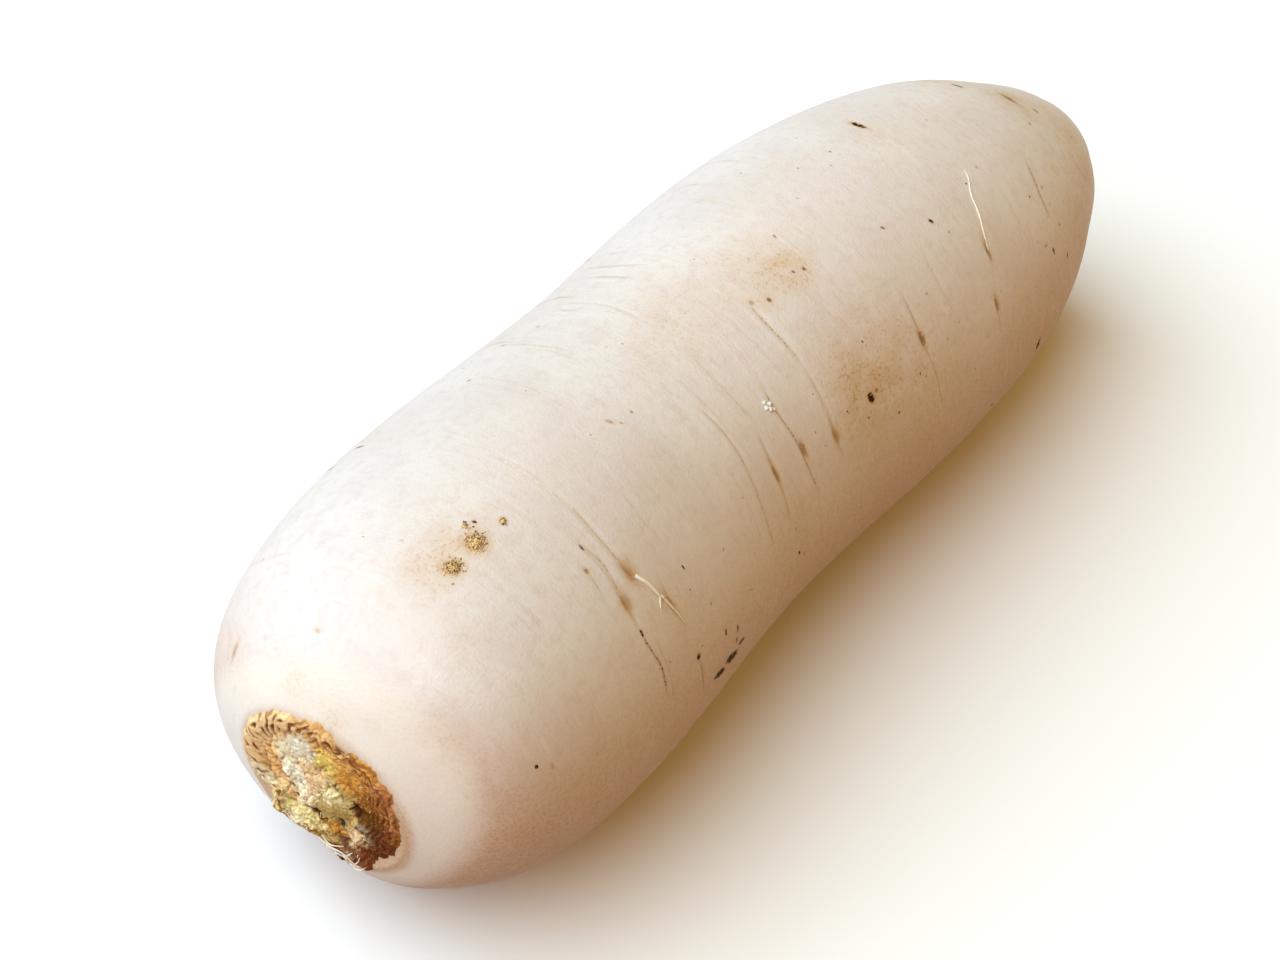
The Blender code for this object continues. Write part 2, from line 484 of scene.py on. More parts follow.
def scattered_spots(random):
    """Specks on every side, and a few brown dimples and dashes where the root faces away."""
    spots = []
    for _ in range(SPECKS):
        size = random.uniform(0.35, 0.75)
        spots.append(Spot(
            random.uniform(6, 244),
            random.uniform(-180, 180),
            size * random.uniform(1.0, 2.0),
            size,
            random.uniform(-40, 40),
            core=random.uniform(0.15, 0.55),
            halo=random.uniform(0.0, 0.3),
        ))
    for _ in range(FAR_MARKS):
        spots.append(Spot(
            random.uniform(28, 238),
            (random.uniform(112, 318) + 180) % 360 - 180,
            random.uniform(1.5, 5.5),
            random.uniform(0.8, 1.8),
            random.normal(0, 14),
            core=random.uniform(0.2, 1.0),
            halo=random.uniform(0.4, 0.9),
            depth=random.uniform(0.15, 0.45),
        ))
    return spots


def grid_mesh(name, points):
    """A closed, smooth mesh through rows of points that wrap around, with a flat cap on each end row."""
    rows, sides = points.shape[:2]
    index = np.arange(rows * sides).reshape(rows, sides)
    beside = np.roll(index, -1, 1)
    quads = np.stack([index[:-1], beside[:-1], beside[1:], index[1:]], -1).reshape(-1, 4)
    faces = quads.tolist() + [index[0, ::-1].tolist(), index[-1].tolist()]
    mesh = bpy.data.meshes.new(name)
    mesh.from_pydata(points.reshape(-1, 3).tolist(), [], faces)
    mesh.shade_smooth()
    return mesh


def add_piece(name, mesh, material):
    """A piece of the daikon: it shares the root's one body and its one material slot."""
    piece = bpy.data.objects.new(name, mesh)
    bpy.context.scene.collection.objects.link(piece)
    mesh.materials.append(material)
    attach(piece, "root")
    return piece


def set_points(mesh, name, kind, values):
    """Stores one value for each point, a FLOAT, FLOAT_VECTOR or FLOAT_COLOR, for the material to read."""
    layer = mesh.attributes.new(name, kind, "POINT")
    key = {"FLOAT": "value", "FLOAT_VECTOR": "vector", "FLOAT_COLOR": "color"}[kind]
    layer.data.foreach_set(key, np.ascontiguousarray(values, np.float32).ravel())


def set_corners(mesh, name, values):
    """Stores a UV layer (two numbers) or a colour (three) for each corner of a grid mesh's quads."""
    width = values.shape[-1]
    flat = np.zeros((len(mesh.loops), width), np.float32)
    flat[: values.size // width] = values.reshape(-1, width)
    if width == 2:
        mesh.uv_layers.new(name=name).data.foreach_set("uv", flat.ravel())
    else:
        layer = mesh.color_attributes.new(name, "FLOAT_COLOR", "CORNER")
        layer.data.foreach_set("color", np.pad(flat, ((0, 0), (0, 1)), constant_values=1).ravel())


def at_corners(values):
    """Values on a grid with its seam column repeated, given to the four corners of each quad."""
    return np.stack([values[:-1, :-1], values[:-1, 1:], values[1:, 1:], values[1:, :-1]], 2)


def crown_notch(angle, from_lip):
    """How far the crown's flank is eaten back, low on its far side."""
    turn = (np.degrees(angle) - NOTCH_AROUND + 180) % 360 - 180
    return NOTCH_DEPTH * hump(turn, NOTCH_SPREAD) * hump(from_lip - NOTCH_MIDDLE, NOTCH_REACH)


class Skin:
    """The skin as a grid of points: rows from the crown's hollow to the cut tail, columns around."""

    def __init__(self, creases, spots, stains):
        self.creases, self.spots, self.stains = creases, spots, stains
        along, radius = outline()
        steps = np.hypot(np.diff(along), np.diff(radius))
        run = np.concatenate([[0.0], np.cumsum(steps)])
        even = np.linspace(POLE_HOLE, run[-1] - POLE_HOLE, SKIN_ROWS)
        self.along = np.interp(even, run, along)
        self.radius = np.interp(even, run, radius)
        self.lip = int(np.argmax(self.radius > CROWN_RIM))
        self.from_lip = even - even[self.lip]
        self.angle = np.linspace(-math.pi, math.pi, SKIN_SIDES + 1)
        on_body = smooth(0.0, 8 * MM, self.from_lip)
        self.on_body = on_body * (1 - smooth(LENGTH - 2 * MM, LENGTH, self.along))
        self.on_cut = smooth(LENGTH + 0.3 * TAIL_RIM_ROUND, LENGTH + 0.9 * TAIL_RIM_ROUND, self.along)
        self.points = self.carried()
        self.frames = self.axes()
        self.fit_creases()
        self.points = self.points + self.relief()[..., None] * self.frames[2]
        self.points[..., 0] += crown_notch(self.angle[None, :], self.from_lip[:, None])
        self.points[..., 2] = np.maximum(self.points[..., 2], root_low.z)

    def carried(self):
        return carry(self.along[:, None], self.radius[:, None], self.angle[None, :]) + SHIFT

    def axes(self):
        """Unit directions at each point: around the root, along it, and out of it."""
        open_grid = self.points[:, :-1]
        around = unit(np.roll(open_grid, -1, 1) - np.roll(open_grid, 1, 1))
        along = unit(np.gradient(open_grid, axis=0))
        out = unit(np.cross(around, along))
        closed = (np.concatenate([axis, axis[:, :1]], 1) for axis in (around, along, out))
        return tuple(closed)

    def row_of(self, along):
        """The row, with a fraction, at a distance in mm from the crown's rim."""
        return self.lip + np.interp(along * MM, self.along[self.lip :], np.arange(SKIN_ROWS - self.lip))

    def read(self, grid, along, around):
        """A grid's value at a place, read between its four nearest points."""
        row = self.row_of(along)
        column = (around / 360 + 0.5) % 1.0 * SKIN_SIDES
        r, c = int(row), int(column)
        down, right = row - r, column - c
        near = grid[r, c] * (1 - right) + grid[r, c + 1] * right
        far = grid[r + 1, c] * (1 - right) + grid[r + 1, c + 1] * right
        return near * (1 - down) + far * down

    def at(self, along, around, lift=0.0):
        """The point on the skin at a place, raised by lift metres."""
        return self.read(self.points, along, around) + lift * self.read(self.frames[2], along, around)

    def fit_creases(self):
        """For each crease, its distance along the root in each column, and how strong it is there."""
        degrees = np.degrees(self.angle)
        self.lines, self.fades = [], []
        for crease in self.creases:
            start, end = crease.places[0][1], crease.places[-1][1]
            turned = [(around, along) for along, around in crease.places]
            line = spline(turned, np.clip(degrees, start, end)) * MM
            starts = smooth(start, start + CREASE_FADE, degrees)
            ends = smooth(end - CREASE_FADE, end, degrees)
            self.lines.append(line)
            self.fades.append(starts * (1 - ends))

    def relief(self):
        """How far each point stands out from the smooth outline, in metres."""
        points = self.points
        wrapped = self.wrap()
        # Heights in mm, each with the size of its features: lumps, rings around the root, grain.
        waist = 0.35 + 0.65 * hump(self.along - 0.45 * LENGTH, 0.16 * LENGTH)
        lumps = 0.34 * noise_at(points, 34 * MM, 1) + 0.12 * noise_at(points, 11 * MM, 2)
        rings = 0.060 * noise_at(wrapped * (1, 0.16, 0.16), 2.6 * MM, 3)
        rings += 0.025 * noise_at(wrapped * (1, 0.14, 0.14), 1.3 * MM, 4)
        grain = 0.022 * noise_at(points, 2.2 * MM, 5)
        height = (lumps + rings * waist[:, None] + grain) * MM * self.on_body[:, None]
        for crease, line, fade in zip(self.creases, self.lines, self.fades):
            across = self.along[:, None] - line[None, :]
            depth = crease.depth * MM * fade
            height -= depth * hump(across, CREASE_WIDTH)
            height += 0.45 * depth * hump(across + 2.1 * CREASE_WIDTH, CREASE_WIDTH)
        for spot in self.spots:
            if spot.depth:
                distance = self.spot_offsets(spot, points)[2]
                height -= spot.depth * MM * hump(distance, 0.8)
        # Saw marks and waves on the cut tail.
        saw = 0.05 * noise_at(points * (1, 0.2, 1), 0.9 * MM, 6) + 0.10 * noise_at(points, 5 * MM, 7)
        return height + saw * MM * self.on_cut[:, None]

    def wrap(self):
        """A flat map of the skin, closed on itself: metres along the root, then a circle around it."""
        sideways, up = -THICK * np.sin(self.angle), THICK * np.cos(self.angle)
        rows = np.repeat(self.along[:, None], len(self.angle), 1)
        return np.stack([rows, np.broadcast_to(sideways, rows.shape), np.broadcast_to(up, rows.shape)], -1)

    def spot_offsets(self, spot, points):
        """(along its long axis, along its short axis, distance) of points from a spot, in its half sizes."""
        centre = self.read(self.points, spot.along, spot.around)
        around, along, out = (self.read(axis, spot.along, spot.around) for axis in self.frames)
        tilt = math.radians(spot.tilt)
        offset = points - centre
        long_side = offset @ unit(math.cos(tilt) * around + math.sin(tilt) * along)
        short_side = offset @ unit(math.cos(tilt) * along - math.sin(tilt) * around)
        u = long_side / (spot.length * MM / 2)
        v = short_side / (spot.width * MM / 2)
        depth = offset @ out / SPOT_THICKNESS
        return u, v, np.sqrt(u**2 + v**2 + depth**2)

    def spot_layers(self):
        """For the corners of each quad: the place within its nearest spot, and that spot's look."""
        corners = at_corners(self.points)
        middle = corners.mean(2)
        nearest = np.full(middle.shape[:2], np.inf)
        place = np.full(corners.shape[:3] + (2,), FAR_OFF)
        look = np.zeros(corners.shape[:3] + (3,))
        for spot in self.spots:
            distance = self.spot_offsets(spot, middle)[2]
            # The halo, and a millimetre more for the size of a quad.
            reach = SPOT_HALO + 2.0 / min(spot.length, spot.width)
            chosen = (distance < nearest) & (distance < reach)
            nearest[chosen] = distance[chosen]
            u, v, _ = self.spot_offsets(spot, corners[chosen])
            place[chosen] = np.stack([u, v], -1)
            look[chosen] = spot.core, spot.halo, 0.0
        return place, look

    def crease_layers(self):
        """For the corners of each quad: mm across and along its nearest crease, and that crease's look."""
        along = at_corners(np.repeat(self.along[:, None], SKIN_SIDES + 1, 1))
        around = at_corners(np.repeat(np.degrees(self.angle)[None, :], SKIN_ROWS, 0))
        nearest = np.full(along.shape[:2], CREASE_REACH)
        place = np.full(along.shape + (2,), FAR_OFF)
        look = np.zeros(along.shape + (3,))
        for number, (crease, line, fade) in enumerate(zip(self.creases, self.lines, self.fades)):
            lines = at_corners(np.repeat(line[None, :], SKIN_ROWS, 0))
            fades = at_corners(np.repeat(fade[None, :], SKIN_ROWS, 0))
            distance = np.abs((along - lines).mean(2))
            chosen = (distance < nearest) & (fades.max(2) > 0)
            nearest[chosen] = distance[chosen]
            across = (along - lines)[chosen] / MM
            run = around[chosen] * MM_PER_DEGREE + number * CREASE_SHIFT
            place[chosen] = np.stack([across, run], -1)
            strength = fades[chosen]
            dashed = np.full_like(strength, crease.dashed)
            look[chosen] = np.stack([crease.pale * strength, crease.brown * strength, dashed], -1)
        return place, look

    def stain_and_shade(self):
        """How stained each point is, from 0 to 1, with painted shade in a band along the crown's rim."""
        total = np.zeros(self.points.shape[:2])
        for along, around, reach, strength in self.stains:
            distance = np.linalg.norm(self.points - self.at(along, around), axis=-1)
            total += strength * hump(distance, reach * MM)
        # Painted shade in a band along the crown's rim, darkest on the near side.
        near_or_top = 0.3 + 0.7 * hump(np.degrees(self.angle) - 75, 85)
        lip = hump(np.maximum(self.from_lip, 0.0), 2.0 * MM)
        return np.clip(total + 0.7 * lip[:, None] * near_or_top, 0.0, 1.0)

    def underside_shade(self):
        """How much warm painted shade each point gets: most where the skin faces down, less on the crown's
        lit face.
        """
        tinted = UNDERSIDE_SHADE * smooth(UNDERSIDE_SHADE_STARTS, UNDERSIDE_SHADE_FULL, -self.frames[2][..., 2])
        return tinted * (1 - self.lit_crown_face())

    def lit_crown_face(self):
        """How much painted light, with somewhat whiter skin, each point gets where it faces out around the
        leaf scar.
        """
        outside = smooth(0.0, 3 * MM, self.from_lip)
        return outside[:, None] * smooth(*LIT_CROWN_FACE, -self.frames[2][..., 0])

    def build(self):
        mesh = grid_mesh("skin", self.points[:, :-1])
        rows = np.linspace(0.0, 1.0, SKIN_ROWS)[:, None] + np.zeros(SKIN_SIDES + 1)
        columns = np.linspace(0.0, 1.0, SKIN_SIDES + 1)[None, :] + np.zeros((SKIN_ROWS, 1))
        set_corners(mesh, "OFBake", at_corners(np.stack([rows, columns], -1)))
        for name, (place, look) in {"spot": self.spot_layers(), "crease": self.crease_layers()}.items():
            set_corners(mesh, name, place)
            set_corners(mesh, name + "_look", look)
        open_grid = np.s_[:, :-1]
        set_points(mesh, "wrap", "FLOAT_VECTOR", self.wrap()[open_grid])
        set_points(mesh, "stain_and_shade", "FLOAT", self.stain_and_shade()[open_grid])
        # Painted shade on the side that faces down, and painted light on the crown's face.
        set_points(mesh, "underside_shade", "FLOAT", self.underside_shade()[open_grid])
        set_points(mesh, "lit_crown_face", "FLOAT", self.lit_crown_face()[open_grid])
        set_points(mesh, "cut", "FLOAT", np.repeat(self.on_cut[:, None], SKIN_SIDES, 1))
        skin = add_piece("skin", mesh, skin_material())
        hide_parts("daikon")
        return skin


# The leaf scar's own outline: degrees from the top down its near side, radius in mm.
SCAR_EDGE = [
    (-180, 17.6),
    (-173, 16.2),
    (-162, 15.8),
    (-153, 16.2),
    (-146, 18.2),
    (-132, 18.3),
    (-124, 16.2),
    (-117, 14.6),
    (-111, 18.0),
    (-99, 18.9),
    (-81, 19.2),
    (-61, 19.4),
    (-43, 19.1),
    (-27, 19.7),
    (-13, 18.9),
    (4, 19.9),
    (17, 18.3),
    (38, 19.8),
    (52, 19.2),
    (84, 18.1),
    (107, 17.1),
    (130, 16.3),
    (143, 17.0),
    (155, 18.6),
    (168, 19.2),
    (174, 18.9),
    (180, 17.6),
]

# Lumps and hollows of the cut leaf stalks: mm towards +Y, mm up, reach in mm, height in mm.
SCAR_LUMPS = [
    (3.6, 12.2, 3.2, 0.60),
    (7.6, 8.4, 2.4, 0.45),
    (6.4, 2.6, 2.1, 1.00),
    (3.2, -2.4, 2.4, 0.90),
    (0.4, 4.4, 1.9, 0.45),
    (-3.2, 3.0, 1.8, 0.40),
    (10.8, -8.0, 2.4, 0.95),
    (7.4, -12.0, 2.4, 1.10),
    (12.2, -11.6, 1.6, 1.00),
    (4.2, -12.4, 1.8, 0.80),
    (-5.4, -11.4, 1.2, 1.00),
    (-1.6, -2.6, 3.2, 0.40),
    (1.0, -9.8, 2.6, 0.50),
    (-9.8, -2.6, 2.2, 1.10),
    (-11.0, -5.6, 1.5, 0.80),
    (-7.8, -7.0, 2.2, 1.25),
    (-6.0, 10.6, 3.0, 0.30),
    (-8.6, -16.4, 1.6, 1.30),
    (-2.4, 17.8, 1.4, 0.50),
    (2.2, -5.7, 1.6, -1.30),
    (-0.3, -7.4, 0.9, -0.90),
    (-4.6, -4.6, 1.0, -1.30),
    (-8.7, 1.4, 1.3, -1.40),
    (-4.0, 4.6, 0.8, -0.90),
    (8.2, 0.4, 1.2, -1.00),
    (10.4, 3.0, 0.9, -0.80),
    (-5.0, -10.4, 1.6, -0.90),
    (-9.4, -11.4, 2.4, -0.80),
    (8.6, -7.6, 0.8, -0.90),
    (6.4, -4.2, 0.8, -1.00),
    (-6.6, 15.6, 1.5, -0.90),
    (-3.0, -17.4, 1.4, -0.80),
]

# Parts of the scar that are smooth: mm towards +Y, mm up, reach in mm.
SCAR_CALM = [
    (3.6, 12.2, 3.0),
    (7.4, 8.6, 2.2),
    (-6.0, 11.0, 3.4),
    (-1.6, -2.6, 3.0),
    (-4.8, 0.6, 2.4),
    (-12.6, 0.0, 3.0),
    (0.2, 4.2, 1.4),
]

# Linear colours of the leaf scar.
WHITE_FLESH = (1.00, 0.94, 0.72)
CREAM = (1.00, 0.87, 0.58)
LIGHT_TAN = (1.00, 0.66, 0.32)
PALE_TAN = (0.86, 0.62, 0.34)
ORANGE_TAN = (0.82, 0.51, 0.20)
OCHRE = (0.60, 0.30, 0.05)
AMBER = (0.74, 0.36, 0.07)
BRIGHT_ORANGE = (1.00, 0.60, 0.16)
YELLOW_GREEN = (0.86, 0.67, 0.19)
PALE_YELLOW = (1.00, 0.86, 0.38)
PALE_KHAKI = (1.00, 0.90, 0.52)
KHAKI = (0.58, 0.42, 0.15)
RUST = (0.62, 0.28, 0.095)
BARK_BROWN = (0.39, 0.155, 0.032)
MAUVE_GREY = (0.22, 0.110, 0.055)
RUST_RED = (0.36, 0.115, 0.040)
RED_BROWN = (0.20, 0.062, 0.018)
OLIVE_BROWN = (0.20, 0.080, 0.012)
DARK_BROWN = (0.085, 0.026, 0.006)
BLUE_BLACK = (0.028, 0.034, 0.036)

# Where each colour lies: mm towards +Y, mm up, reach in mm, colour.
SCAR_ZONES = [
    (0.0, 18.0, 4.0, ORANGE_TAN),
    (8.0, 15.6, 4.0, LIGHT_TAN),
    (14.0, 11.0, 4.4, LIGHT_TAN),
    (17.4, 3.0, 4.2, LIGHT_TAN),
    (15.6, -4.6, 3.4, CREAM),
    (12.6, 1.4, 3.4, ORANGE_TAN),
    (-5.0, 14.0, 3.6, BRIGHT_ORANGE),
    (-7.6, 9.4, 3.6, AMBER),
    (-12.0, 14.4, 3.2, AMBER),
    (-15.0, 10.0, 3.0, RUST),
    (-12.6, 5.8, 2.8, BARK_BROWN),
    (-17.4, 4.0, 3.0, RUST),
    (-12.6, 0.8, 2.8, OLIVE_BROWN),
    (-13.2, -4.2, 3.6, DARK_BROWN),
    (-17.0, -3.0, 2.4, BARK_BROWN),
    (-15.0, -7.0, 2.4, RED_BROWN),
    (-11.6, -10.0, 2.8, DARK_BROWN),
    (-8.4, -13.8, 2.8, RED_BROWN),
    (-5.8, -11.2, 1.4, PALE_TAN),
    (-5.2, -13.0, 2.4, MAUVE_GREY),
    (-5.6, 16.4, 1.3, DARK_BROWN),
    (-8.4, 15.4, 1.3, RED_BROWN),
    (3.6, 12.2, 3.0, WHITE_FLESH),
    (7.6, 8.4, 2.6, CREAM),
    (6.4, 2.6, 2.4, WHITE_FLESH),
    (3.2, -2.4, 2.4, CREAM),
    (0.8, 5.4, 3.0, PALE_TAN),
    (-2.0, 10.6, 2.6, YELLOW_GREEN),
    (-3.0, 2.6, 2.6, PALE_KHAKI),
    (-5.6, 5.0, 2.4, KHAKI),
    (-1.6, -3.4, 2.8, KHAKI),
    (-5.8, -1.2, 2.6, KHAKI),
    (-2.8, -7.4, 2.4, OCHRE),
    (-4.6, -4.6, 1.0, BLUE_BLACK),
    (11.0, -8.6, 3.4, PALE_YELLOW),
    (8.2, -13.0, 3.4, CREAM),
    (8.4, -3.4, 2.4, LIGHT_TAN),
    (3.8, -10.6, 2.8, PALE_YELLOW),
    (3.6, -14.6, 2.2, YELLOW_GREEN),
    (0.6, -13.0, 2.6, KHAKI),
    (1.8, -5.8, 1.4, DARK_BROWN),
    (-8.7, 1.2, 1.5, DARK_BROWN),
    (-10.0, -3.4, 2.2, MAUVE_GREY),
    (-7.8, -6.8, 2.2, PALE_TAN),
    (-2.0, -16.0, 1.8, RED_BROWN),
    (-4.4, -15.6, 1.2, PALE_TAN),
    (-3.0, -18.4, 2.2, DARK_BROWN),
]

# The wrinkled ring inside the scar's edge, in mm from the edge. SPOKES wrinkles would cross a whole ring,
# and LANE_WIDTH lies between those that follow it.
RING_MIDDLE = 2.2
RING_REACH = 2.4
FOLD_DEPTH = 0.40
SPOKES = 40
LANE_WIDTH = 1.4

# The inner band of fine ridges on the near side, in mm from the edge, RIDGE_WIDTH from each to the next.
BAND_MIDDLE = 5.2
BAND_REACH = 2.6
RIDGE_WIDTH = 1.15

# The part of the ring that is spoked: where its middle lies and how far it reaches, in degrees.
SPOKED_AROUND = -58
SPOKED_REACH = 72

# The rows of points underneath the scar, as shares of its radius.
SCAR_UNDERSIDE = (0.97, 0.7, 0.3, 0.02)


def skin_level(radius):
    """How far the crown's skin lies out from the rim's plane at this radius: it falls away outside it."""
    along, ring = outline()
    body = slice(int(np.argmax(ring > CROWN_RIM)), int(np.argmax(ring > 0.7 * THICK)))
    return -np.interp(radius, ring[body], along[body])


def mix_colour(colour, other, share):
    return colour + (np.array(other) - colour) * share[..., None]


class Scar:
    """The leaf scar as a polar grid: rows from its middle over its edge and back underneath."""

    def __init__(self):
        self.angle = np.linspace(-math.pi, math.pi, SCAR_SIDES, endpoint=False)
        self.turn = np.degrees(self.angle)[None, :]
        share = np.linspace(0.01, 1.0, SCAR_ROWS)
        circle = np.stack([np.cos(self.angle), np.sin(self.angle), 0 * self.angle], -1)
        edge = np.interp(self.turn[0], *zip(*SCAR_EDGE)) * MM
        edge += 0.70 * MM * noise_at(circle * 18, 1.9, 11) + 0.40 * MM * noise_at(circle * 18, 0.8, 12)
        self.radius = share[:, None] * (edge + SCAR_SKIRT)[None, :]
        self.inside = (edge[None, :] - self.radius) / MM
        self.side = -self.radius * np.sin(self.angle)
        self.up = self.radius * np.cos(self.angle)
        self.flat = np.stack([self.side, self.up, 0 * self.side], -1)
        self.ring = hump(self.inside - RING_MIDDLE, RING_REACH)
        self.folds = self.ring_folds()
        self.detail = self.stalks() + self.collar()
        self.height = self.base() + self.detail
        sunk = smooth(0.4, -SCAR_SKIRT / MM, self.inside)
        self.points = self.place(self.side, self.up, self.height, sunk)

    def place(self, side, up, height, sunk=0.0):
        """Points at these metres towards +Y, up, and out of the crown, from the middle of its rim.

        Where it is sunk, the scar follows the flank's notch.
        """
        centre, tangent, across, rise = (axis[0] for axis in centre_frame(np.zeros(1)))
        side, up, height, sunk = (np.asarray(value)[..., None] for value in (side, up, height, sunk))
        points = centre + SHIFT + side * across + up * rise - height * tangent
        radius, angle = np.hypot(side, up), np.arctan2(-side, up)
        points[..., :1] += sunk * crown_notch(angle, radius - CROWN_RIM)
        return points

    def base(self):
        """The low mound, and its thin edge that dives under the skin."""
        mound = 1.3 * hump(self.radius, 10 * MM)
        rim = 0.20 * smooth(0.0, 0.8, self.inside) - 1.3 * smooth(0.0, SCAR_SKIRT / MM, -self.inside)
        return (mound + rim) * MM + skin_level(self.radius)

    def swirl(self, around, inwards, lean, seed):
        """Noise that follows the edge: its features' lengths in mm around and inwards, and their lean."""
        turn = self.angle + lean * self.inside * MM / CROWN_RIM
        reach = CROWN_RIM / MM / around
        place = np.stack([np.cos(turn) * reach, np.sin(turn) * reach, self.inside / inwards], -1)
        return noise_at(place, 1.0, seed)

    def ring_folds(self):
        """0 on a wrinkle's crest to 1 in its crease: bold spokes on the far side, broken lanes elsewhere."""
        spoked = hump(self.turn - SPOKED_AROUND, SPOKED_REACH)
        wander = 4.2 * self.swirl(2.8, 2.2, 0.0, 13)
        lean = 1.0 + 2.4 * smooth(-75, -20, self.turn)
        spokes = np.sin(SPOKES * np.radians(self.turn) + lean * self.inside + wander)
        lanes = np.sin(2 * math.pi * self.inside / LANE_WIDTH + 0.8 * wander)
        stipple = 1 - smooth(0.0, 0.26, np.abs(self.swirl(1.3, 0.8, 0.4, 15)))
        broken = self.swirl(2.3, 1.8, 0.0, 16)
        bold = smooth(-0.10, 0.50, spokes) * smooth(-0.25, 0.08, broken)
        thin = smooth(-0.10, 0.60, lanes) * smooth(-0.30, 0.0, broken)
        return spoked * bold + (1 - spoked) * np.maximum(thin, 0.8 * stipple)

    def near_band(self):
        """How much of the near side's inner band, with its fine ridges, there is at each point."""
        near = smooth(34, 66, self.turn) * (1 - smooth(120, 146, self.turn))
        return near * hump(self.inside - BAND_MIDDLE, BAND_REACH)

    def collar(self):
        """The wrinkled ring at the edge, and the concentric ridges inside it on the near side."""
        warp = noise_at(self.flat, 5 * MM, 17) + 0.25 * noise_at(self.flat, 1.2 * MM, 18)
        self.ridges = np.sin(2 * math.pi * self.inside / RIDGE_WIDTH + 2.4 * warp)
        relief = self.ring * (0.55 - FOLD_DEPTH * self.folds) + 0.14 * self.near_band() * self.ridges
        return relief * MM * smooth(-0.4, 0.6, self.inside)

    def stalks(self):
        """The cracked lumps that the cut leaf stalks left."""
        middle = smooth(3.4, 5.8, self.inside) * (1 - 0.75 * self.near_band())
        bent = self.flat + 0.6 * MM * noise_at(self.flat, 1.8 * MM, 19)[..., None]
        calm = sum(hump(np.hypot(self.side - y * MM, self.up - z * MM), r * MM) for y, z, r in SCAR_CALM)
        rough = 1 - 0.8 * np.clip(calm, 0, 1)
        cracks = cells_at(bent, 3.1 * MM, 20)
        self.fissure = middle * rough * (1 - smooth(0.02, 0.13, cracks))
        lumps = 0.55 * (smooth(0.0, 0.40, cracks) - 0.6)
        crumbs = 0.24 * (smooth(0.0, 0.36, cells_at(bent, 1.15 * MM, 21)) - 0.6)
        grain = 0.16 * noise_at(self.flat, 0.6 * MM, 22)
        height = (middle * (lumps + crumbs) + (0.35 + 0.65 * middle) * grain) * rough
        for y, z, reach, rise in SCAR_LUMPS:
            distance = np.hypot(bent[..., 0] - y * MM, bent[..., 1] - z * MM)
            height += rise * hump(distance, 0.8 * reach * MM)
        return height * MM

    def colours(self):
        """Each point's colour: the zones run into each other raggedly, and crevices are dark."""
        ragged = np.stack([noise_at(self.flat, 1.5 * MM, seed) for seed in (23, 24, 25)], -1)
        fine = np.stack([noise_at(self.flat, 0.5 * MM, seed) for seed in (26, 27, 28)], -1)
        at = self.flat + 1.3 * MM * ragged + 1.0 * MM * fine
        total = np.full(self.radius.shape, 1e-6)
        colour = np.zeros(self.radius.shape + (3,))
        for y, z, reach, tint in SCAR_ZONES:
            weight = hump(np.hypot(at[..., 0] - y * MM, at[..., 1] - z * MM), 0.85 * reach * MM) ** 2
            total += weight
            colour += weight[..., None] * np.array(tint)
        colour /= total[..., None]
        colour = np.minimum(colour * (1 + 0.35 * fine[..., 1:2]), 1.0)
        crest = self.ring * smooth(0.25, 0.0, self.folds) * smooth(-0.3, 0.3, ragged[..., 0])
        near = smooth(20, 80, self.turn) * (1 - smooth(150, 175, self.turn))
        colour = mix_colour(colour, CREAM, 0.30 * crest * (1 - near))
        colour = mix_colour(colour, RUST_RED, 0.90 * self.ring * smooth(0.10, 0.50, self.folds))
        colour = mix_colour(colour, DARK_BROWN, 0.70 * self.ring * smooth(0.50, 1.0, self.folds))
        colour = mix_colour(colour, DARK_BROWN, 0.5 * self.near_band() * smooth(0.1, -0.9, self.ridges))
        inner = smooth(2.5, 4.5, self.inside)
        colour = mix_colour(colour, RED_BROWN, 0.7 * self.fissure * smooth(-0.2, 0.3, ragged[..., 1]))
        colour = mix_colour(colour, DARK_BROWN, 0.9 * inner * smooth(0.25, 0.80, -self.detail / MM))
        return mix_colour(colour, WHITE_FLESH, 0.25 * inner * smooth(0.45, 1.0, self.detail / MM))

    def build(self):
        under = np.array(SCAR_UNDERSIDE)[:, None]
        side, up = self.side[-1] * under, self.up[-1] * under
        bottom = self.place(side, up, skin_level(self.radius[-1]) * under**2 - SCAR_THICKNESS, 1.0)
        mesh = grid_mesh("leaf_scar", np.concatenate([self.points, bottom]))
        colours = self.colours()
        colours = np.concatenate([colours, np.repeat(colours[-1:], len(under), 0)])
        rgba = np.concatenate([colours, np.ones(colours.shape[:2] + (1,))], -1)
        set_points(mesh, "scar_colour", "FLOAT_COLOR", rgba)
        return add_piece("leaf_scar", mesh, scar_material())

    def at(self, y, z, lift=0.0):
        """The point on the scar at mm towards +Y and mm up, raised by lift metres."""
        radius, angle = math.hypot(y, z) * MM, math.atan2(-y, z)
        column = int((angle / (2 * math.pi) + 0.5) * SCAR_SIDES) % SCAR_SIDES
        row = int(np.argmin(np.abs(self.radius[:, column] - radius)))
        return self.place(y * MM, z * MM, self.height[row, column] + lift)


